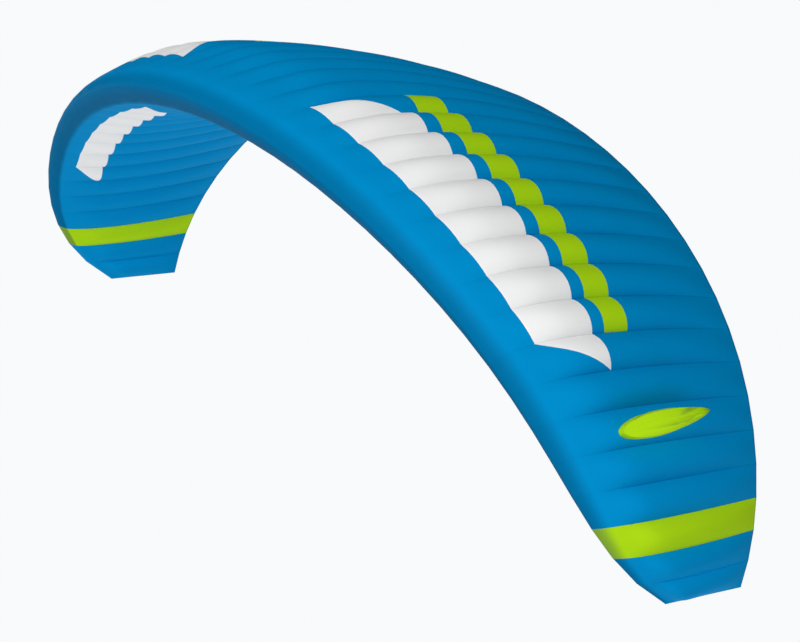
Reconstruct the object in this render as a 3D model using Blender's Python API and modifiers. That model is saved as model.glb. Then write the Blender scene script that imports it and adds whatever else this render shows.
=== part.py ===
import math

import bpy
import numpy as np
from mathutils import Vector
from mathutils.bvhtree import BVHTree

# A ram-air paraglider wing, inflated as it flies. X runs along the span (the left tip is at +X),
# -Y is the way it flies and +Z is up. The origin is on the bottom of the centre rib, where the
# middle row of lines would pull.

OBJECT_NAME = "paraglider_wing"

# Cloth and seams, metres
CLOTH = 0.0015
SEAM_GAP = 0.00035

# Planform, laid flat
FLAT_SPAN = 11.14
CELLS_PER_HALF = 20
CELL_TAPER = 0.37  # the tip cell is narrower than the centre cell by this share

# Stations along the half span: share of the half span, chord, set-back of the nose
STATIONS = np.array([
    (0.00, 2.910, 0.000),
    (0.25, 2.820, 0.056),
    (0.50, 2.520, 0.252),
    (0.75, 1.970, 0.596),
    (0.90, 1.435, 0.957),
    (1.00, 0.715, 1.560),
], dtype=[("share", float), ("chord", float), ("setback", float)])

# Arch: how far the span line leans down, in degrees, as a sum of powers of the share
ARCH_LEAN = {1: 48.7, 3: 28.8, 7: 16.5}
ARCH_STEPS = 400

# Rib section, as shares of the chord
RIB_THICKNESS = 0.168
RIB_CAMBER = 0.012
CAMBER_AT = 0.30
LIP_AT = 0.045  # the crease under the nose, where the nose band turns into the lower sail
LIP_DROP = 0.010
LIP_FADE = 0.12
LINE_AT = 0.30  # depth of the middle line row, where the origin is
TIP_CLOSING = 0.86  # outside this share of the half span the sails draw together

# How far a cell swells between its ribs, as shares of the cell's width; the nose stays smooth
SWELL_UPPER = 0.160
SWELL_LOWER = 0.118
SWELL_FULL_AT = 0.26
CELL_STEPS = 3
SLOPE_STEP = 0.004  # share of the chord over which the section's slope is taken

# Section rows of each sail: depth along the chord
UPPER_ROWS = (0.0, 0.012, 0.050, 0.13, 0.28, 0.50, 0.76, 1.0)
NOSE_ROWS = (0.0, 0.014, LIP_AT, 0.062)
LOWER_ROWS = (0.062, 0.20, 0.40, 0.62, 0.82, 1.0)
TIP_LOWER_ROWS = (0.0, 0.014, 0.062, 0.20, 0.45, 0.72, 1.0)

# How many cells each sewn panel covers, from the centre out
UPPER_PANELS = (2,) * 10
LOWER_PANELS = (2,) * 9
NOSE_PANELS = (3,) * 6
TIP_PANEL = 2

# Winglet: a short inflated fin on the upper sail
WINGLET_CELL = 15  # counted from the centre
WINGLET_FRONT = (0.62, 0.243)  # share of the cell's width from its inner rib, share of its chord
WINGLET_BACK = (0.40, 0.636)
WINGLET_WIDTH = 0.158
WINGLET_WIDEST_AT = 0.342  # shares of the winglet's length
WINGLET_HIGHEST_AT = 0.80
WINGLET_HEIGHT = 0.225
WINGLET_NOSE_HEIGHT = 0.06
WINGLET_TAIL_DROP = 0.35  # share of the height lost behind the highest place
WINGLET_BLUNTNESS = 0.52  # below 1 rounds the leaf shape at its nose; the tail is a point
WINGLET_LEAN = 63.5  # degrees from straight up, outwards
WINGLET_DOME = 0.018
WINGLET_STEPS = 9
WINGLET_LIFT = 0.0016
FOOT_SAMPLES = 9  # places along each edge of the foot where the sail's height is taken

HAND_NAMES = {1: "left", -1: "right"}

BLUE = (0.0, 0.24, 0.60)
LIME = (0.45, 0.76, 0.01)


def even_curve(column):
    """Smooth even curve through the stations."""
    return np.polyfit(STATIONS["share"] ** 2, STATIONS[column], len(STATIONS) - 1)


CHORD_CURVE = even_curve("chord")
SETBACK_CURVE = even_curve("setback")


def chord_at(share):
    return np.polyval(CHORD_CURVE, share ** 2)


def setback_at(share):
    return np.polyval(SETBACK_CURVE, share ** 2)


def lean_at(share):
    return sum(math.radians(angle) * share ** power for power, angle in ARCH_LEAN.items())


def arch_line():
    """Run and drop of the span line, added up along the half span."""
    shares = np.linspace(0.0, 1.0, ARCH_STEPS + 1)
    leans = lean_at(shares)
    step = 0.5 * FLAT_SPAN / ARCH_STEPS
    run = np.concatenate(([0.0], np.cumsum(np.cos((leans[1:] + leans[:-1]) / 2)) * step))
    drop = np.concatenate(([0.0], np.cumsum(np.sin((leans[1:] + leans[:-1]) / 2)) * step))
    return shares, run, drop


ARCH_SHARES, ARCH_RUN, ARCH_DROP = arch_line()


def cell_shares():
    """Share of the half span at each rib, from the centre to the tip."""
    middles = (np.arange(CELLS_PER_HALF) + 0.5) / CELLS_PER_HALF
    edges = np.concatenate(([0.0], np.cumsum(1.0 - CELL_TAPER * middles ** 2)))
    return edges / edges[-1]


RIB_SHARES = cell_shares()


def section_height(depth, side):
    """Height of the section above its chord line, on the upper (+1) or lower (-1) side."""
    half = 5 * RIB_THICKNESS * (0.2969 * math.sqrt(depth) - 0.1260 * depth - 0.3516 * depth ** 2
                                + 0.2843 * depth ** 3 - 0.1036 * depth ** 4)
    reach = CAMBER_AT if depth < CAMBER_AT else 1.0 - CAMBER_AT
    camber = RIB_CAMBER * (1.0 - ((depth - CAMBER_AT) / reach) ** 2)
    if side > 0:
        return camber + half
    fade = depth / LIP_AT if depth < LIP_AT else math.exp(-(depth - LIP_AT) / LIP_FADE)
    tail = 1.0 - depth ** 4
    return camber - half - LIP_DROP * fade * tail


ORIGIN_BACK = LINE_AT * chord_at(0.0)
ORIGIN_DOWN = section_height(LINE_AT, -1) * chord_at(0.0)


def closing_at(share):
    """Share of the full section height left near the tip."""
    if share <= TIP_CLOSING:
        return 1.0
    return math.sqrt(max(0.0, 1.0 - ((share - TIP_CLOSING) / (1.0 - TIP_CLOSING)) ** 2))


def outward_at(share):
    lean = lean_at(share)
    return np.array([math.sin(lean), 0.0, math.cos(lean)])


def spanward_at(share):
    lean = lean_at(share)
    return np.array([math.cos(lean), 0.0, -math.sin(lean)])


def rib_point(share, depth, side):
    """Point of the left half's rib section at a depth along its chord."""
    chord = chord_at(share)
    spot = np.array([
        np.interp(share, ARCH_SHARES, ARCH_RUN),
        setback_at(share) + depth * chord - ORIGIN_BACK,
        -np.interp(share, ARCH_SHARES, ARCH_DROP) - ORIGIN_DOWN,
    ])
    height = section_height(depth, side) * chord * closing_at(share)
    return spot + outward_at(share) * height


def swell_at(depth, side):
    """How far the cell swells at this depth, as a share of its width."""
    full = SWELL_UPPER if side > 0 else SWELL_LOWER
    ramp = math.sin(min(1.0, depth / SWELL_FULL_AT) * math.pi / 2) ** 3
    return full * ramp * (1.0 - depth ** 5)


def unit(vector):
    return vector / np.linalg.norm(vector)


def cell_point(cell, along, depth, side):
    """Point of a swollen cell; along runs from 0 at its inner rib to 1 at its outer rib."""
    inner, outer = RIB_SHARES[cell], RIB_SHARES[cell + 1]
    near = rib_point(inner, depth, side)
    far = rib_point(outer, depth, side)
    width = np.linalg.norm(far - near)
    middle = (inner + outer) / 2
    ahead = rib_point(middle, max(depth - SLOPE_STEP, 0.0), side)
    behind = rib_point(middle, min(depth + SLOPE_STEP, 1.0), side)
    if depth == 0.0:
        bulge = np.array([0.0, -1.0, 0.0])
    else:
        bulge = unit(np.cross(far - near, behind - ahead)) * side
    rise = swell_at(depth, side) * width * 4 * along * (1 - along)
    return near + (far - near) * along + bulge * rise


def panel_grid(first_cell, cell_count, rows, side):
    """Points of a panel: one line of section rows for each step along the span."""
    lines = []
    for cell in range(first_cell, first_cell + cell_count):
        start = 0 if cell == first_cell else 1
        for step in range(start, CELL_STEPS + 1):
            lines.append([cell_point(cell, step / CELL_STEPS, depth, side) for depth in rows])
    return np.array(lines)


def grid_normals(grid, side):
    """Outward normals at a panel's points, averaged from the faces around each."""
    span = np.diff(grid, axis=0)
    depth = np.diff(grid, axis=1)
    faces = np.cross(span[:, :-1] + span[:, 1:], depth[:-1] + depth[1:]) * side
    faces /= np.linalg.norm(faces, axis=2, keepdims=True)
    normals = np.zeros_like(grid)
    for across in (slice(None, -1), slice(1, None)):
        for down in (slice(None, -1), slice(1, None)):
            normals[across, down] += faces
    return normals / np.linalg.norm(normals, axis=2, keepdims=True)


def clear_edge(grid, normals, where, towards):
    """Draw an edge back from its seam plane, so that the sheet's inner corner clears it too."""
    overreach = np.maximum(0.0, np.sum(normals[where] * towards, axis=-1)) * CLOTH
    grid[where] += towards * (SEAM_GAP / 2 + overreach)[..., None]


def units(vectors):
    return vectors / np.linalg.norm(vectors, axis=-1, keepdims=True)


def seam_facing(edge, inside, outward, beyond=None):
    """Directions from a seam into its panel: off the chord line, or halfway round its corner."""
    if beyond is None:
        return outward
    return units(units(inside - edge) + units(edge - beyond))


def seamed_panel(first_cell, cell_count, rows, side, row_ahead=None, row_behind=None):
    """A panel's grid with all four edges drawn back from their seams."""
    grid = panel_grid(first_cell, cell_count, rows, side)
    normals = grid_normals(grid, side)
    shares = np.interp(np.linspace(0, cell_count, len(grid)), np.arange(cell_count + 1),
                       RIB_SHARES[first_cell:first_cell + cell_count + 1])
    outward = np.array([outward_at(share) for share in shares]) * side
    ahead = behind = None
    if row_ahead is not None:
        ahead = panel_grid(first_cell, cell_count, (row_ahead,), side)[:, 0]
    if row_behind is not None:
        behind = panel_grid(first_cell, cell_count, (row_behind,), side)[:, 0]
    front_facing = seam_facing(grid[:, 0], grid[:, 1], outward, ahead)
    back_facing = seam_facing(grid[:, -1], grid[:, -2], outward, behind)
    clear_edge(grid, normals, (slice(None), 0), front_facing)
    clear_edge(grid, normals, (slice(None), -1), back_facing)
    clear_edge(grid, normals, (0, slice(None)), spanward_at(shares[0]))
    if first_cell + cell_count == CELLS_PER_HALF:
        clear_edge(grid, normals, (-1, slice(None)), outward[-1])
    else:
        clear_edge(grid, normals, (-1, slice(None)), -spanward_at(shares[-1]))
    return grid


def cloth_material(name, colour):
    material = bpy.data.materials.new(name)
    material.use_nodes = True
    shader = material.node_tree.nodes["Principled BSDF"]
    shader.inputs["Base Color"].default_value = (*colour, 1.0)
    shader.inputs["Roughness"].default_value = 0.5
    shader.inputs["Metallic"].default_value = 0.0
    return material


def add_sheet(name, points, faces, colour, collection):
    """Cloth sheet: an open surface, facing outwards, thickened inwards."""
    mesh = bpy.data.meshes.new(name)
    mesh.from_pydata([tuple(point) for point in points], [], faces)
    mesh.materials.append(cloth_material(name, colour))
    sheet = bpy.data.objects.new(name, mesh)
    collection.objects.link(sheet)
    thickness = sheet.modifiers.new("Cloth", "SOLIDIFY")
    thickness.thickness = CLOTH
    thickness.offset = -1.0
    thickness.use_even_offset = False
    return sheet


def add_grid_sheet(name, grid, flipped, colour, collection):
    """Sheet over a grid of points; flipped turns its faces over."""
    across, down = grid.shape[:2]
    faces = []
    for line in range(across - 1):
        for row in range(down - 1):
            corner = line * down + row
            face = (corner, corner + down, corner + down + 1, corner + 1)
            faces.append(face[::-1] if flipped else face)
    return add_sheet(name, grid.reshape(-1, 3), faces, colour, collection)


def add_panel_row(name, hand, counts, rows, side, collection, row_ahead=None, row_behind=None):
    """One row of sewn panels on one half, from the centre out."""
    first_cell = 0
    for number, cell_count in enumerate(counts, start=1):
        grid = seamed_panel(first_cell, cell_count, rows, side, row_ahead, row_behind)
        grid[..., 0] *= hand
        label = f"{name}_{HAND_NAMES[hand]}_{number:02d}"
        add_grid_sheet(label, grid, hand * side < 0, BLUE, collection)
        first_cell += cell_count


def add_tip_panel(name, hand, rows, side, collection):
    """The last panel of the lower sail, which reaches round to the nose seam."""
    grid = seamed_panel(CELLS_PER_HALF - TIP_PANEL, TIP_PANEL, rows, side)
    grid[..., 0] *= hand
    add_grid_sheet(f"{name}_{HAND_NAMES[hand]}_tip", grid, hand * side < 0, BLUE, collection)


def cell_surface(cell):
    """Ray-casting tree of one upper cell's faceted outside."""
    grid = panel_grid(cell, 1, UPPER_ROWS, 1)
    down = len(UPPER_ROWS)
    faces = []
    for line in range(CELL_STEPS):
        for row in range(down - 1):
            corner = line * down + row
            faces.append((corner, corner + down, corner + down + 1, corner + 1))
    return BVHTree.FromPolygons([Vector(point) for point in grid.reshape(-1, 3)], faces)


def winglet_loop():
    """Leaf-shaped section: share of the length and side of each point, round from the nose."""
    steps = np.linspace(0.0, 1.0, WINGLET_STEPS + 1)
    shares = (1 - np.cos(steps * math.pi)) / 2
    widest, blunt = WINGLET_WIDEST_AT, WINGLET_BLUNTNESS
    tail = ((1 - shares) / (1 - widest)) ** (blunt * (1 - widest) / widest)
    halves = (shares / widest) ** blunt * tail * WINGLET_WIDTH / 2
    near = [(share, half) for share, half in zip(shares, halves)]
    far = [(share, -half) for share, half in zip(shares[-2:0:-1], halves[-2:0:-1])]
    return near + far


def winglet_height(share):
    """Height of the winglet's rim above the sail, low at its nose and full behind its middle."""
    if share < WINGLET_HIGHEST_AT:
        ramp = math.sin(share / WINGLET_HIGHEST_AT * math.pi / 2)
    else:
        past = (share - WINGLET_HIGHEST_AT) / (1 - WINGLET_HIGHEST_AT)
        ramp = 1.0 - WINGLET_TAIL_DROP * past ** 2
    return WINGLET_NOSE_HEIGHT + (WINGLET_HEIGHT - WINGLET_NOSE_HEIGHT) * ramp


def add_winglet(hand, collection):
    """Skin and end cap of one winglet, standing on one upper cell."""
    cell = WINGLET_CELL - 1
    front = cell_point(cell, *WINGLET_FRONT, 1)
    back = cell_point(cell, *WINGLET_BACK, 1)
    lengthwise = back - front
    lean = math.radians(WINGLET_LEAN)
    axis = np.array([math.sin(lean), 0.0, math.cos(lean)])
    sideways = unit(np.cross(lengthwise, axis))
    surface = cell_surface(cell)

    def foot(point):
        """Distance along the axis from a point down to the sail."""
        start = point + axis * WINGLET_HEIGHT * 2
        hit = surface.ray_cast(Vector(start), Vector(-axis))
        return WINGLET_HEIGHT * 2 - hit[3]

    loop = winglet_loop()
    base = [front + lengthwise * share + sideways * half for share, half in loop]
    count = len(base)
    samples = np.linspace(0.0, 1.0, FOOT_SAMPLES)
    feet = []
    for index in range(count):
        reach = []
        for neighbour in (base[index - 1], base[(index + 1) % count]):
            reach += [foot(base[index] + (neighbour - base[index]) * share) for share in samples]
        feet.append(max(reach) + WINGLET_LIFT)
    heights = [winglet_height(share) for share, _ in loop]

    root = [point + axis * rise for point, rise in zip(base, feet)]
    rim = [point + axis * height for point, height in zip(base, heights)]
    middle = [(low + high) / 2 for low, high in zip(root, rim)]
    points = np.array(root + middle + rim)
    points[:, 0] *= hand
    faces = []
    for ring in range(2):
        for index in range(count):
            after = (index + 1) % count
            low, high = ring * count, (ring + 1) * count
            face = (low + index, low + after, high + after, high + index)
            faces.append(face if hand > 0 else face[::-1])
    add_sheet(f"winglet_skin_{HAND_NAMES[hand]}", points, faces, LIME, collection)

    lift = axis * (SEAM_GAP + CLOTH)
    cap_points = [rim[0] + lift]
    for step in range(1, WINGLET_STEPS):
        near, far = rim[step] + lift, rim[count - step] + lift
        dome = axis * WINGLET_DOME * math.sin(math.pi * step / WINGLET_STEPS)
        cap_points += [near, (near + far) / 2 + dome, far]
    cap_points.append(rim[WINGLET_STEPS] + lift)
    last = len(cap_points) - 1
    cap_faces = [(0, 1, 2), (0, 2, 3)]
    for step in range(WINGLET_STEPS - 2):
        corner = 1 + 3 * step
        for side in (0, 1):
            cap_faces.append((corner + side, corner + 3 + side, corner + 4 + side, corner + 1 + side))
    cap_faces += [(last - 3, last, last - 2), (last - 2, last, last - 1)]
    cap = np.array(cap_points)
    cap[:, 0] *= hand
    if hand < 0:
        cap_faces = [face[::-1] for face in cap_faces]
    add_sheet(f"winglet_cap_{HAND_NAMES[hand]}", cap, cap_faces, LIME, collection)


def clear_scene():
    for item in list(bpy.data.objects):
        bpy.data.objects.remove(item, do_unlink=True)


def main():
    clear_scene()
    collection = bpy.data.collections.new(OBJECT_NAME)
    bpy.context.scene.collection.children.link(collection)
    for hand in (1, -1):
        add_panel_row("upper_sail", hand, UPPER_PANELS, UPPER_ROWS, 1, collection)
        add_panel_row("nose_band", hand, NOSE_PANELS, NOSE_ROWS, -1, collection,
                      row_behind=LOWER_ROWS[1])
        add_panel_row("lower_sail", hand, LOWER_PANELS, LOWER_ROWS, -1, collection,
                      row_ahead=NOSE_ROWS[-2])
        add_tip_panel("lower_sail", hand, TIP_LOWER_ROWS, -1, collection)
        add_winglet(hand, collection)


main()
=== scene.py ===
import math

import bpy
import numpy as np
from mathutils import Matrix, Vector


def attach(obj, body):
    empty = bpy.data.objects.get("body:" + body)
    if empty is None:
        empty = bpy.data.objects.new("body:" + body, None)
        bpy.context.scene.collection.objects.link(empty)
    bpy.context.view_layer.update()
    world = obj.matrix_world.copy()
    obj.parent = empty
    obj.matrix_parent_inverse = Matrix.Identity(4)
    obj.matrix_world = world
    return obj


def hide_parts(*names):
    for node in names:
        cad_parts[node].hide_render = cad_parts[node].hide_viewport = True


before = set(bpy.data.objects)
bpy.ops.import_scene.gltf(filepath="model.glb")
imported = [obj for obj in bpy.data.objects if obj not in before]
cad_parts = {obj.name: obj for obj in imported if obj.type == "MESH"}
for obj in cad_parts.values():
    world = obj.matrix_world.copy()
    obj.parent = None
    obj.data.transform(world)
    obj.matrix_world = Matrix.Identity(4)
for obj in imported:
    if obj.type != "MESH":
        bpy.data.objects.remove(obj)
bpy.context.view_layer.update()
print("frame loaded:", len(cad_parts), "CAD nodes")

# The whole wing, in metres and shares of the half span or the chord.
# X runs along the span (left tip at +X), -Y is the way it flies.
wing = {
    "flatSpan": 11.14,
    "cellsPerHalf": 20,
    "cellTaper": 0.37,
    "share": [0.00, 0.25, 0.50, 0.75, 0.90, 1.00],
    "chord": [2.910, 2.820, 2.520, 1.970, 1.435, 0.715],
    "setback": [0.000, 0.056, 0.252, 0.596, 0.957, 1.560],
    "archLean": {1: 48.7, 3: 28.8, 7: 16.5},  # degrees, for each power of the share
    "archSteps": 400,
    "thickness": 0.168,
    "camber": 0.012,
    "camberAt": 0.30,
    "lipAt": 0.045,
    "lipDrop": 0.010,
    "lipFade": 0.12,
    "lineAt": 0.30,
    "tipClosing": 0.86,
    "cloth": 0.0015,
    "seamGap": 0.00035,
    "smoothAngle": 50,
}

# How the air swells each cell between its ribs: shares of the cell's width, and the shoulder
# where the seam draws the cloth in, in metres
swell = {
    "upper": 0.166,
    "lower": 0.125,
    "fullAt": 0.26,
    "frontPower": 3,
    "backPower": 5,
    "shoulder": {"upper": 0.020, "lower": 0.014},
    "shoulderReach": 0.050,
    "shoulderFrom": (0.08, 0.30),
    "tangentStep": 0.004,
}

leftAndRight = ((1, "Left", "left"), (-1, "Right", "right"))


def evenCurve(column):
    return np.polyfit(np.array(wing["share"]) ** 2, wing[column], len(wing["share"]) - 1)


chordCurve = evenCurve("chord")
setbackCurve = evenCurve("setback")


def chordAt(share):
    return np.polyval(chordCurve, share ** 2)


def leanAt(share):
    return sum(math.radians(angle) * share ** power for power, angle in wing["archLean"].items())


def outwardAt(share):
    return np.array([math.sin(leanAt(share)), 0.0, math.cos(leanAt(share))])


archShares = np.linspace(0.0, 1.0, wing["archSteps"] + 1)
archMiddles = (leanAt(archShares[1:]) + leanAt(archShares[:-1])) / 2
archStep = 0.5 * wing["flatSpan"] / wing["archSteps"]
archRun = np.concatenate(([0.0], np.cumsum(np.cos(archMiddles)) * archStep))
archDrop = np.concatenate(([0.0], np.cumsum(np.sin(archMiddles)) * archStep))

cellMiddles = (np.arange(wing["cellsPerHalf"]) + 0.5) / wing["cellsPerHalf"]
ribShares = np.concatenate(([0.0], np.cumsum(1.0 - wing["cellTaper"] * cellMiddles ** 2)))
ribShares /= ribShares[-1]


def sectionHeight(depth, side):  # a classic wing section, with a small lip under the nose
    half = 5 * wing["thickness"] * (0.2969 * np.sqrt(depth) - 0.1260 * depth - 0.3516 * depth ** 2
                                    + 0.2843 * depth ** 3 - 0.1036 * depth ** 4)
    reach = np.where(depth < wing["camberAt"], wing["camberAt"], 1.0 - wing["camberAt"])
    camber = wing["camber"] * (1.0 - ((depth - wing["camberAt"]) / reach) ** 2)
    if side > 0:
        return camber + half
    past = np.maximum(0.0, depth - wing["lipAt"])
    fade = np.minimum(1.0, depth / wing["lipAt"]) * np.exp(-past / wing["lipFade"])
    return camber - half - wing["lipDrop"] * fade * (1.0 - depth ** 4)


originBack = wing["lineAt"] * chordAt(0.0)
originDown = float(sectionHeight(np.array(wing["lineAt"]), -1)) * chordAt(0.0)


def closingAt(share):
    past = max(0.0, (share - wing["tipClosing"]) / (1.0 - wing["tipClosing"]))
    return math.sqrt(max(0.0, 1.0 - past ** 2))


def ribLine(share, depth, side):  # points along one rib, for an array of depths
    chord = chordAt(share)
    line = np.zeros((len(depth), 3))
    line[:, 0] = np.interp(share, archShares, archRun)
    line[:, 1] = np.polyval(setbackCurve, share ** 2) + depth * chord - originBack
    line[:, 2] = -np.interp(share, archShares, archDrop) - originDown
    height = sectionHeight(depth, side) * chord * closingAt(share)
    return line + height[:, None] * outwardAt(share)


def units(vectors):
    return vectors / np.linalg.norm(vectors, axis=-1, keepdims=True)


def swellAt(depth, side):
    full = swell["upper"] if side > 0 else swell["lower"]
    ramp = np.sin(np.minimum(1.0, depth / swell["fullAt"]) * math.pi / 2) ** swell["frontPower"]
    return full * ramp * (1.0 - depth ** swell["backPower"])


def shoulderAt(depth, side):
    start, end = swell["shoulderFrom"]
    ramp = np.clip((depth - start) / (end - start), 0.0, 1.0)
    ramp = ramp ** 2 * (3 - 2 * ramp)
    height = swell["shoulder"]["upper" if side > 0 else "lower"]
    return height * ramp * (1.0 - depth ** swell["backPower"])


def swollenCell(cell, steps, depth, side):
    # lines of points from the inner rib to the outer one, crowded near the ribs
    inner, outer = ribShares[cell], ribShares[cell + 1]
    near, far = ribLine(inner, depth, side), ribLine(outer, depth, side)
    middle = (inner + outer) / 2
    ahead = ribLine(middle, np.maximum(depth - swell["tangentStep"], 0.0), side)
    behind = ribLine(middle, np.minimum(depth + swell["tangentStep"], 1.0), side)
    tangent = np.where((depth == 0.0)[:, None], outwardAt(middle) * side, behind - ahead)
    bulge = units(np.cross(far - near, tangent)) * side
    width = np.linalg.norm(far - near, axis=1)
    along = (1 - np.cos(np.linspace(0.0, math.pi, steps + 1))) / 2
    seams = np.minimum(along, 1 - along)[:, None] * width
    rise = swellAt(depth, side) * width * (4 * along * (1 - along))[:, None]
    rise = rise + shoulderAt(depth, side) * (1 - np.exp(-seams / swell["shoulderReach"]))
    lines = near + (far - near) * along[:, None, None] + rise[:, :, None] * bulge
    return lines, seams, along


print("wing shape worked out:", 2 * wing["cellsPerHalf"], "cells")

# Colours of the dyed cloth, and what it darkens toward in shade
dye = {
    "blue": (0.0, 0.250, 0.566, 1.0),
    "white": (0.87, 0.87, 0.87, 1.0),
    "lime": (0.40, 0.68, 0.008, 1.0),
    "shade": (0.0, 0.02, 0.05, 1.0),
    "black": (0.0, 0.0, 0.0, 1.0),
}

grounds = {"upper": "blue", "lower": "blue", "nose": "blue", "winglet": "lime"}

# Coloured cloth let into the sails: cells counted from the centre, depths as shares of the chord,
# and the rake as the cells that a stripe's ends shift by from its front edge to its back one
stripes = {
    "upper": [
        {"dye": "white", "cells": (3, 12), "depths": (0.13, 0.35), "rake": 1.0},
        {"dye": "lime", "cells": (3, 12), "depths": (0.40, 0.50), "rake": 0.0},
        {"dye": "lime", "cells": (17, 18), "depths": (0.0, 1.0), "rake": 0.0},
    ],
    "lower": [
        {"dye": "white", "cells": (5, 13), "depths": (0.105, 0.235), "rake": 1.0},
        {"dye": "lime", "cells": (17, 18), "depths": (0.0, 1.0), "rake": 0.0},
    ],
    "nose": [
        {"dye": "lime", "cells": (17, 18), "depths": (-1.0, 1.0), "rake": 0.0},
    ],
    "winglet": [],
}


class Wire:  # a value on its way through the shader
    def __init__(self, graph, socket):
        self.graph = graph
        self.socket = socket

    def __add__(self, other):
        return self.graph.maths("ADD", self, other)

    def __sub__(self, other):
        return self.graph.maths("SUBTRACT", self, other)

    def __mul__(self, other):
        return self.graph.maths("MULTIPLY", self, other)

    def __truediv__(self, other):
        return self.graph.maths("DIVIDE", self, other)

    def __gt__(self, other):
        return self.graph.maths("GREATER_THAN", self, other)

    def __lt__(self, other):
        return self.graph.maths("LESS_THAN", self, other)

    def __rsub__(self, other):
        return self.graph.maths("SUBTRACT", other, self)

    __radd__ = __add__
    __rmul__ = __mul__


class ClothGraph:  # the nodes of one material
    def __init__(self, name):
        self.material = bpy.data.materials.new(name)
        self.material.use_nodes = True
        self.tree = self.material.node_tree
        self.shader = self.tree.nodes["Principled BSDF"]

    def feed(self, socket, value):
        if isinstance(value, Wire):
            self.tree.links.new(value.socket, socket)
        else:
            socket.default_value = value

    def node(self, kind, settings, inputs):
        made = self.tree.nodes.new(kind)
        for key, value in settings.items():
            setattr(made, key, value)
        for key, value in inputs.items():
            self.feed(made.inputs[key], value)
        return made

    def maths(self, operation, *values):
        made = self.node("ShaderNodeMath", {"operation": operation}, dict(enumerate(values)))
        return Wire(self, made.outputs[0])

    def attribute(self, name):
        return Wire(self, self.node("ShaderNodeAttribute", {"attribute_name": name}, {}).outputs["Fac"])

    def joined(self, x, y):
        return Wire(self, self.node("ShaderNodeCombineXYZ", {}, {"X": x, "Y": y}).outputs[0])

    def noise(self, vector, scale, detail=2.0):
        made = self.node("ShaderNodeTexNoise", {"noise_dimensions": "2D"},
                         {"Vector": vector, "Scale": scale, "Detail": detail})
        return Wire(self, made.outputs[0])

    def blend(self, share, first, second):
        made = self.node("ShaderNodeMix", {"data_type": "RGBA"}, {0: share, 6: first, 7: second})
        return Wire(self, made.outputs[2])

    def between(self, value, low, high):
        return (value > low) * (value < high)

    def faded(self, value, low, high):
        made = self.node("ShaderNodeMapRange", {"interpolation_type": "SMOOTHSTEP"},
                         {"Value": value, "From Min": low, "From Max": high})
        return Wire(self, made.outputs[0])

    def stitched(self, value, at, pitch, along, width):  # dashes of thread beside a seam
        onLine = self.maths("COMPARE", value, at, width / 2)
        dash = self.maths("FRACT", along / pitch) < weave["stitchDash"]
        return onLine * dash


# The woven cloth and its sewing: lengths in metres, tones as shares of the way to the shade colour
weave = {
    "ripstopPitch": 0.006,
    "ripstopThread": 0.0007,
    "ripstopTone": 0.04,
    "ripstopHeight": 0.00006,
    "seamTape": 0.0022,
    "tapeTone": 0.15,
    "tapeDepth": 0.0006,
    "stitchFromSeam": 0.0045,
    "stitchPitch": 0.0035,
    "stitchDash": 0.7,
    "threadWidth": 0.0008,
    "stitchTone": 0.10,
    "stitchHeight": 0.0003,
    "stitchRoughness": 0.2,
    "seamsShowFrom": (0.07, 0.26),  # share of the chord
    # painted shade beside each seam, as shares of the way to the shade colour, and how far it reaches
    "seamPaintedShade": {"upper": 0.05, "lower": 0.18},
    "seamShadeReach": 0.030,
    "hemDepth": 0.990,  # share of the chord
    "hemTone": 0.28,
    "hemHeight": 0.0005,
    "cloudScale": 1.7,
    "cloudFrom": 0.45,
    "cloudTone": 0.10,
    "puckerHeight": 0.0016,
    "puckerReach": 0.045,
    "puckerPitch": 0.05,
    "puckerStretch": 5.0,
    "puckerDepths": (0.10, 1.1),  # shares of the chord
    "slackHeight": 0.0035,
    "slackStretch": (2.6, 1.1),
    "reliefStrength": 0.6,
    "roughness": 0.52,
    "patchScale": 9.0,
    "patchRoughness": 0.12,
    "specular": 0.01,
}

# Painted shade at the front of the wing, darker than the rest: depths as shares of the chord
paintedFrontShade = {
    "noseTone": 0.53,
    "lipAt": (0.032, 0.052),
    "sailTone": 0.45,
    "sailReach": 0.044,
    "tipCells": (9.0, 15.0),
    "tipTone": 0.05,
    "tipReach": 0.025,
}

# Painted shade of the creases that run along the winglets' cloth
creaseShade = {
    "stretch": (2.4, 17.0),
    "levels": (0.50, 0.72),
    "deepestFrom": (0.12, 0.42),
    "tone": 0.42,
}


def dyedCloth(graph, pattern, cell, depth, place):  # ground colour and stripes, a little cloudy
    colour = dye[grounds[pattern]]
    for stripe in stripes[pattern]:
        start, end = stripe["depths"]
        shift = (depth - start) * (stripe["rake"] / (end - start))
        inside = graph.between(cell - shift, *stripe["cells"]) * graph.between(depth, start, end)
        colour = graph.blend(inside, colour, dye[stripe["dye"]])
    cloud = graph.noise(place, weave["cloudScale"], 3.0)
    return graph.blend((cloud - weave["cloudFrom"]) * weave["cloudTone"], colour, dye["black"])


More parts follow.
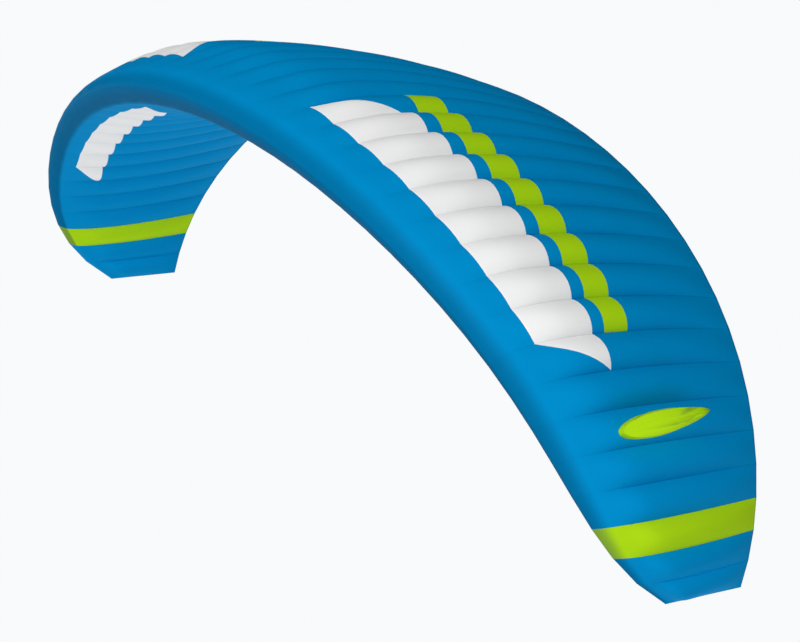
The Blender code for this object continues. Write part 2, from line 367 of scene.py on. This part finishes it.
def makeCloth(name, pattern):
    graph = ClothGraph(name)
    across, down = graph.attribute("clothAcross"), graph.attribute("clothDown")
    cell, depth = graph.attribute("cellNumber"), graph.attribute("chordDepth")
    seam = graph.attribute("seamDistance")
    place = graph.joined(across, down)
    toned = dyedCloth(graph, pattern, cell, depth, place)

    # ripstop squares, seam tapes, stitches and the hem
    pitch, thread = weave["ripstopPitch"] / 2, weave["ripstopThread"] / 2
    gridAcross = graph.maths("PINGPONG", across, pitch) < thread
    gridDown = graph.maths("PINGPONG", down, pitch) < thread
    ripstop = graph.maths("MAXIMUM", gridAcross, gridDown)
    tape = seam < weave["seamTape"]
    stitch = graph.stitched(seam, weave["stitchFromSeam"], weave["stitchPitch"], down,
                            weave["threadWidth"])
    hem = depth > weave["hemDepth"]
    shown = graph.faded(depth, *weave["seamsShowFrom"])
    shade = ripstop * weave["ripstopTone"]
    if pattern != "winglet":
        sewing = tape * weave["tapeTone"] + stitch * weave["stitchTone"]
        shade = shade + sewing * shown + hem * weave["hemTone"]
    if pattern in weave["seamPaintedShade"]:  # painted shade beside each seam, fading out away from it
        paintedSeamShade = graph.maths("EXPONENT", seam * (-1.0 / weave["seamShadeReach"])) * shown
        shade = shade + paintedSeamShade * weave["seamPaintedShade"][pattern]
    if pattern == "nose":  # painted shade round the nose, as far as the lip
        band = 1.0 - graph.faded(depth, *paintedFrontShade["lipAt"])
        shade = shade + band * paintedFrontShade["noseTone"]
    if pattern == "upper":  # painted shade at the very front, most of all toward the tips
        tips = graph.faded(cell, *paintedFrontShade["tipCells"])
        reach = paintedFrontShade["sailReach"] + tips * paintedFrontShade["tipReach"]
        rim = 1.0 - graph.faded(depth / reach, 0.0, 1.0)
        shade = shade + rim * (paintedFrontShade["sailTone"] + tips * paintedFrontShade["tipTone"])
    if pattern == "winglet":  # painted shade of creases that run along it, deepest toward its tail
        along, beside = creaseShade["stretch"]
        shadedCreases = graph.noise(graph.joined(across * along, down * beside), 1.0, 3.0)
        shadedCreases = graph.faded(shadedCreases, *creaseShade["levels"]) * graph.faded(across, *creaseShade["deepestFrom"])
        shade = shade + shadedCreases * creaseShade["tone"]
    graph.feed(graph.shader.inputs["Base Color"], graph.blend(shade, toned, dye["shade"]))

    # relief: threads, puckers that run out from the seams, and slack between them
    fade = graph.maths("EXPONENT", seam * (-1.0 / weave["puckerReach"]))
    ripple = graph.joined(seam * weave["puckerStretch"], down / weave["puckerPitch"])
    pucker = graph.noise(ripple, 1.0, 2.0)
    puckered = graph.between(depth, *weave["puckerDepths"]) * weave["puckerHeight"]
    along, beside = weave["slackStretch"]
    slack = graph.noise(graph.joined(across * along, down * beside), 1.0, 3.0)
    relief = (ripstop * weave["ripstopHeight"] + stitch * weave["stitchHeight"]
              - tape * weave["tapeDepth"] + hem * weave["hemHeight"]
              + (pucker - 0.5) * fade * puckered + slack * weave["slackHeight"])
    bump = graph.node("ShaderNodeBump", {}, {"Height": relief, "Distance": 1.0,
                                             "Strength": weave["reliefStrength"]})
    graph.feed(graph.shader.inputs["Normal"], Wire(graph, bump.outputs[0]))

    patchy = graph.noise(place, weave["patchScale"], 2.0)
    uneven = (patchy - 0.5) * weave["patchRoughness"] + stitch * weave["stitchRoughness"]
    graph.feed(graph.shader.inputs["Roughness"], weave["roughness"] + uneven)
    graph.shader.inputs["Specular IOR Level"].default_value = weave["specular"]
    return graph.material


cloths = {pattern: makeCloth(pattern + "Ripstop", pattern) for pattern in stripes}
print("cloth woven:", ", ".join(cloths))


def layGrid(name, points, facts):
    # a flat grid, bent to the given points; facts hold one number for each point
    across, down = points.shape[:2]
    bpy.ops.object.select_all(action="DESELECT")
    bpy.ops.mesh.primitive_grid_add(x_subdivisions=across - 1, y_subdivisions=down - 1, size=2.0)
    piece = bpy.context.object
    piece.name = name
    piece.data.name = name
    places = np.zeros(len(piece.data.vertices) * 3)
    piece.data.vertices.foreach_get("co", places)
    places = places.reshape(-1, 3)
    column = np.rint((places[:, 0] + 1) / 2 * (across - 1)).astype(int)
    row = np.rint((places[:, 1] + 1) / 2 * (down - 1)).astype(int)
    piece.data.vertices.foreach_set("co", points[column, row].ravel())
    for fact, values in facts.items():
        layer = piece.data.attributes.new(fact, "FLOAT", "POINT")
        layer.data.foreach_set("value", values[column, row].astype(np.float32))
    piece.data.update()
    return piece


def clothLengths(points):
    # how far each point lies across and down the cloth, from its first line and row
    widths = np.linalg.norm(np.diff(points, axis=0), axis=2)
    lengths = np.linalg.norm(np.diff(points, axis=1), axis=2)
    across = np.concatenate((np.zeros((1, points.shape[1])), np.cumsum(widths, axis=0)))
    down = np.concatenate((np.zeros((len(points), 1)), np.cumsum(lengths, axis=1)), axis=1)
    return across, down


def clothSize(points):
    # longest way across and down, and the area
    across = np.linalg.norm(np.diff(points, axis=0), axis=2).sum(axis=0).max()
    down = np.linalg.norm(np.diff(points, axis=1), axis=2).sum(axis=1).max()
    diagonals = np.cross(points[1:, 1:] - points[:-1, :-1], points[1:, :-1] - points[:-1, 1:])
    area = np.linalg.norm(diagonals, axis=2).sum() / 2
    return float(across), float(down), float(min(area, across * down))


def finishSheet(piece, points, material, slot, *cadNodes):
    # thickness inwards, sharp folds along the seams, and the piece's place in the frame
    piece.data.materials.append(cloths[material])
    bpy.ops.object.select_all(action="DESELECT")
    piece.select_set(True)
    bpy.context.view_layer.objects.active = piece
    thickness = piece.modifiers.new("cloth", "SOLIDIFY")
    thickness.thickness = wing["cloth"]
    thickness.offset = -1.0
    bpy.ops.object.modifier_apply(modifier="cloth")
    markSeams(piece)
    bpy.ops.object.shade_smooth_by_angle(angle=math.radians(wing["smoothAngle"]))
    across, down, area = clothSize(points)
    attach(piece, "root")
    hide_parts(*cadNodes)


def markSeams(piece):
    # sharp folds where two cells meet, and along the lip under the nose
    mesh = piece.data
    read = {}
    for fact in ("seamDistance", "cellNumber", "chordDepth"):
        values = np.zeros(len(mesh.vertices), dtype=np.float32)
        mesh.attributes[fact].data.foreach_get("value", values)
        read[fact] = values
    atSeam = read["seamDistance"] < 1e-5
    atLip = np.abs(read["chordDepth"] - wing["lipAt"]) < 1e-5
    number = read["cellNumber"]
    for edge in mesh.edges:
        one, other = edge.vertices
        onSeam = atSeam[one] and atSeam[other] and abs(number[one] - number[other]) < 1e-3
        onLip = atLip[one] and atLip[other] and "noseBand" in piece.name
        edge.use_edge_sharp = bool(onSeam or onLip)


# Sewn panels: how many cells each covers, and the rows from front to back
panels = {
    "stepsAcross": 12,
    "noseTo": 0.062,  # share of the chord
    "upper": {"counts": (2,) * 10, "rows": 72, "crowding": 0.25},
    "nose": {"counts": (3,) * 6, "rows": 14, "crowding": 1.0},
    "lower": {"counts": (2,) * 9, "rows": 56, "crowding": None},
    "tip": {"cells": 2, "rows": 64, "crowding": 0.25},
}


def spreadRows(kind, start, end):
    # rows close together at the front, where the section turns round the nose
    crowding = panels[kind]["crowding"]
    steps = np.linspace(0.0, 1.0, panels[kind]["rows"] + 1)
    if crowding:
        steps = steps ** 2 / (steps + crowding) * (1 + crowding)
    return start + (end - start) * steps


def panelPoints(firstCell, cellCount, depth, side):
    steps = panels["stepsAcross"]
    lines, seams, numbers = [], [], []
    for cell in range(firstCell, firstCell + cellCount):
        cellLines, cellSeams, along = swollenCell(cell, steps, depth, side)
        start = 0 if cell == firstCell else 1
        lines.append(cellLines[start:])
        seams.append(cellSeams[start:])
        numbers.append(cell + along[start:])
    points, seams = np.concatenate(lines), np.concatenate(seams)
    number = np.concatenate(numbers)[:, None] + np.zeros_like(seams)
    clear = side * (wing["cloth"] + wing["seamGap"] / 2)
    if depth[-1] == 1.0:  # the two sails lie against each other along the trailing edge
        share = np.interp(number[:, 0], np.arange(len(ribShares)), ribShares)
        points[:, -1] += np.array([outwardAt(one) for one in share]) * clear
    if firstCell + cellCount == wing["cellsPerHalf"]:  # and along the tip
        points[-1, :-1] += outwardAt(1.0) * clear
    across, down = clothLengths(points)
    middle = len(points) // 2
    facts = {
        "cellNumber": number,
        "chordDepth": np.zeros_like(seams) + depth,
        "seamDistance": seams,
        "clothAcross": across + ribShares[firstCell] * wing["flatSpan"],
        "clothDown": np.zeros_like(down) + down[middle],
    }
    return points, facts


def sewPanel(name, hand, firstCell, cellCount, depth, side, pattern, slot, cadNode):
    points, facts = panelPoints(firstCell, cellCount, depth, side)
    points[..., 0] *= hand
    if hand * side < 0:  # keeps the face of the cloth outwards
        points = points[::-1]
        facts = {fact: values[::-1] for fact, values in facts.items()}
    piece = layGrid(name, points, facts)
    finishSheet(piece, points, pattern, slot, cadNode)
    return piece


noseRows = np.append(spreadRows("nose", 0.0, panels["noseTo"]), wing["lipAt"])
rows = {
    "upper": spreadRows("upper", 0.0, 1.0),
    "nose": np.unique(noseRows),
    "lower": spreadRows("lower", panels["noseTo"], 1.0),
    "tip": spreadRows("tip", 0.0, 1.0),
}

upperSails = {}
for hand, ending, letter in leftAndRight:
    firstCell = 0
    for number, count in enumerate(panels["upper"]["counts"], start=1):
        upperSails[hand, number] = sewPanel(f"upperSail{ending}{number:02d}", hand, firstCell, count,
                                            rows["upper"], 1, "upper", "sail_cloth",
                                            f"upper_sail_{letter}_{number:02d}")
        firstCell += count
    firstCell = 0
    for number, count in enumerate(panels["nose"]["counts"], start=1):
        sewPanel(f"noseBand{ending}{number:02d}", hand, firstCell, count, rows["nose"], -1, "nose",
                 "nose_cloth", f"nose_band_{letter}_{number:02d}")
        firstCell += count
    firstCell = 0
    for number, count in enumerate(panels["lower"]["counts"], start=1):
        sewPanel(f"lowerSail{ending}{number:02d}", hand, firstCell, count, rows["lower"], -1,
                 "lower", "sail_cloth", f"lower_sail_{letter}_{number:02d}")
        firstCell += count
    sewPanel(f"lowerSail{ending}Tip", hand, firstCell, panels["tip"]["cells"], rows["tip"], -1,
             "lower", "sail_cloth", f"lower_sail_{letter}_tip")
print("sails sewn:", len(upperSails), "upper panels")

# The fin near each tip
winglet = {
    "cell": 15,
    "front": (0.62, 0.243),  # share of the cell's width, share of its chord
    "back": (0.40, 0.636),
    "width": 0.158,
    "widestAt": 0.342,
    "highestAt": 0.80,
    "height": 0.225,
    "noseHeight": 0.06,
    "tailDrop": 0.35,
    "bluntness": 0.52,
    "lean": 63.5,
    "dome": 0.018,
    "fold": 0.0055,
    "folds": 1.6,
    "skinFold": 0.6,  # share of the fold that the skin takes
    "foldTurns": {"skin": 3.0, "cap": 2.5},
    "puff": 0.008,
    "bodyPower": 0.5,
    "crownPower": 0.8,
    "standOff": 0.0012,
    "weld": 0.0001,
    "rayLength": 0.5,
    "spotSteps": 24,
    "lengthSteps": 40,
    "heightSteps": 10,
    "acrossSteps": 14,
}


def wingletHeight(share):
    past = np.maximum(0.0, share - winglet["highestAt"]) / (1 - winglet["highestAt"])
    ramp = np.sin(np.minimum(1.0, share / winglet["highestAt"]) * math.pi / 2)
    ramp = ramp - winglet["tailDrop"] * past ** 2
    return winglet["noseHeight"] + (winglet["height"] - winglet["noseHeight"]) * ramp


def leafHalf(share):  # blunt at the nose, drawn out to a point at the tail
    widest, blunt = winglet["widestAt"], winglet["bluntness"]
    tail = ((1 - share) / (1 - widest)) ** (blunt * (1 - widest) / widest)
    return (share / widest) ** blunt * tail * winglet["width"] / 2


def clothFacts(points):
    # the winglet's cloth has its own across and down, seams at its edges only, and no hem
    across, down = clothLengths(points)
    edge = np.minimum(down, down[:, -1:] - down)
    return {
        "cellNumber": np.zeros_like(down),
        "chordDepth": np.full_like(down, 0.5),
        "seamDistance": edge + 1e-4,
        "clothAcross": across,
        "clothDown": down,
    }


def spotOn(cell, across, depth):  # a place on the left upper sail
    lines, _, along = swollenCell(cell, winglet["spotSteps"], np.array([depth]), 1)
    return np.array([np.interp(across, along, lines[:, 0, axis]) for axis in range(3)])


def wingletFold(part, level, shares):
    turn = 2 * math.pi * winglet["folds"] * level + winglet["foldTurns"][part] * shares
    return winglet["fold"] * np.sin(turn)


def sewWingletPiece(name, lines, hand, cadNode):
    points = np.stack(lines, axis=1) * np.array([hand, 1, 1])
    if hand < 0:  # keeps the face of the cloth outwards
        points = points[::-1]
    piece = layGrid(name, points, clothFacts(points))
    bpy.ops.object.mode_set(mode="EDIT")
    bpy.ops.mesh.select_all(action="SELECT")
    bpy.ops.mesh.remove_doubles(threshold=winglet["weld"])  # closes it at the nose and the tail
    bpy.ops.object.mode_set(mode="OBJECT")
    finishSheet(piece, points, "winglet", "winglet_cloth", cadNode)


def makeWinglet(hand, ending, letter):
    cell = winglet["cell"] - 1
    sail = upperSails[hand, cell // 2 + 1]
    front, back = (spotOn(cell, *winglet[end]) for end in ("front", "back"))
    lengthwise = back - front
    lean = math.radians(winglet["lean"])
    axis = np.array([math.sin(lean), 0.0, math.cos(lean)])
    sideways = units(np.cross(lengthwise, axis))
    mirror = np.array([hand, 1, 1])
    far = winglet["rayLength"]

    shares = (1 - np.cos(np.linspace(0.0, 1.0, winglet["lengthSteps"] + 1) * math.pi)) / 2
    halves = leafHalf(shares)
    loopShares = np.concatenate((shares, shares[-2::-1]))
    loopHalves = np.concatenate((halves, -halves[-2::-1]))
    base = front + lengthwise * loopShares[:, None] + sideways * loopHalves[:, None]

    def foot(point):  # how far the sail lies along the axis
        start = (point + axis * far) * mirror
        hit, place = sail.ray_cast(Vector(start), Vector(-axis * mirror))[:2]
        return far - (Vector(start) - place).length if hit else 0.0

    # the skin stands on the sail and goes all the way round
    feet = np.array([foot(point) for point in base]) + winglet["standOff"]
    root = base + axis * feet[:, None]
    rim = base + axis * wingletHeight(loopShares)[:, None]
    away = sideways * np.sign(loopHalves)[:, None]
    body = np.sin(math.pi * loopShares) ** winglet["bodyPower"]
    lines = []
    for level in np.linspace(0.0, 1.0, winglet["heightSteps"] + 1):
        fold = wingletFold("skin", level, loopShares) * winglet["skinFold"]
        out = (winglet["puff"] + fold) * math.sin(math.pi * level) * body
        lines.append(root + (rim - root) * level + away * out[:, None])
    sewWingletPiece(f"wingletSkin{ending}", lines, hand, f"winglet_skin_{letter}")

    # the cap closes it above
    lift = axis * (wing["seamGap"] + wing["cloth"])
    crown = np.sin(math.pi * shares) ** winglet["crownPower"]
    lines = []
    for row in np.linspace(1.0, -1.0, winglet["acrossSteps"] + 1):
        fold = wingletFold("cap", row, shares)
        rise = (winglet["dome"] * (1 - row ** 2) + fold * (1 - row ** 4)) * crown
        height = wingletHeight(shares) + rise
        lines.append(front + lengthwise * shares[:, None] + sideways * (halves * row)[:, None]
                     + axis * height[:, None] + lift)
    sewWingletPiece(f"wingletCap{ending}", lines, hand, f"winglet_cap_{letter}")


for hand, ending, letter in leftAndRight:
    makeWinglet(hand, ending, letter)
print("winglets sewn on")

# The wing hangs in the air over a pale studio floor, inside a pale dome. The floor and the dome
# are only seen: the soft light from below comes from a dimmer board under the floor
studio = {
    "floorLevel": -14.0,
    "floorSize": 400.0,
    "domeRadius": 190.0,
    "domeSegments": 64,
    "domeRings": 32,
    "paleTone": (0.939, 0.956, 0.965, 1.0),
    "boardDrop": 0.5,
    "boardTone": (0.97, 0.985, 1.0, 1.0),
    "boardGlow": 0.85,
    "skyTone": (0.97, 0.985, 1.0, 1.0),
    "skyStrength": 0.03,
    "lampDistance": 12.0,
    "lamps": [
        {"name": "keyLight", "from": (0.16, -0.69, 0.71), "strength": 2.45, "angle": 22.0},
        {"name": "sideLight", "from": (0.80, -0.45, 0.15), "strength": 1.0, "angle": 20.0},
    ],
}


def finishStage(name, tone, glow, lightsWing):
    piece = bpy.context.object
    piece.name = name
    paint = ClothGraph(name + "Paint")
    paint.shader.inputs["Base Color"].default_value = (0.0, 0.0, 0.0, 1.0)
    paint.shader.inputs["Specular IOR Level"].default_value = 0.0
    paint.shader.inputs["Emission Color"].default_value = tone
    paint.shader.inputs["Emission Strength"].default_value = glow
    piece.data.materials.append(paint.material)
    piece.visible_diffuse = lightsWing
    piece.visible_glossy = lightsWing
    piece.visible_shadow = False


bpy.ops.object.select_all(action="DESELECT")
bpy.ops.mesh.primitive_plane_add(size=studio["floorSize"], location=(0, 0, studio["floorLevel"]))
finishStage("studioFloor", studio["paleTone"], glow=1.0, lightsWing=False)

bpy.ops.object.select_all(action="DESELECT")
bpy.ops.mesh.primitive_plane_add(size=studio["floorSize"],
                                 location=(0, 0, studio["floorLevel"] - studio["boardDrop"]))
finishStage("bounceBoard", studio["boardTone"], glow=studio["boardGlow"], lightsWing=True)

bpy.ops.object.select_all(action="DESELECT")
bpy.ops.mesh.primitive_uv_sphere_add(segments=studio["domeSegments"],
                                     ring_count=studio["domeRings"], radius=studio["domeRadius"])
finishStage("paleDome", studio["paleTone"], glow=1.0, lightsWing=False)

sky = bpy.data.worlds.new("studioSky")
sky.use_nodes = True
sky.node_tree.nodes["Background"].inputs["Color"].default_value = studio["skyTone"]
sky.node_tree.nodes["Background"].inputs["Strength"].default_value = studio["skyStrength"]
bpy.context.scene.world = sky

for light in studio["lamps"]:
    toward = Vector(light["from"]).normalized()
    bpy.ops.object.light_add(type="SUN", location=toward * studio["lampDistance"])
    lamp = bpy.context.object
    lamp.name = light["name"]
    lamp.data.energy = light["strength"]
    lamp.data.angle = math.radians(light["angle"])
    lamp.data.use_shadow = False  # as even as the light of a big white tent
    lamp.rotation_euler = toward.to_track_quat("Z", "Y").to_euler()
bpy.context.scene.view_settings.view_transform = "Standard"

# The camera: angles in degrees, distance and aim in metres
shot = {
    "azimuth": 54.42,
    "elevation": 16.90,
    "roll": 4.83,
    "distance": 18.49,
    "aim": (0.466, 0.894, -1.609),
    "lens": 100.5,
    "clipEnd": 500.0,
}

azimuth, elevation, roll = (math.radians(shot[key]) for key in ("azimuth", "elevation", "roll"))
ahead = Vector((-math.sin(azimuth) * math.cos(elevation), math.cos(azimuth) * math.cos(elevation),
                -math.sin(elevation)))
level = Vector((math.cos(azimuth), math.sin(azimuth), 0))
upright = level.cross(ahead)
sideAxis = level * math.cos(roll) + upright * math.sin(roll)
upAxis = upright * math.cos(roll) - level * math.sin(roll)
bpy.ops.object.camera_add(location=Vector(shot["aim"]) - ahead * shot["distance"])
camera = bpy.context.object
camera.rotation_euler = Matrix((sideAxis, upAxis, -ahead)).transposed().to_euler()
camera.data.lens = shot["lens"]
camera.data.clip_end = shot["clipEnd"]
bpy.context.scene.camera = camera
print("studio lit")
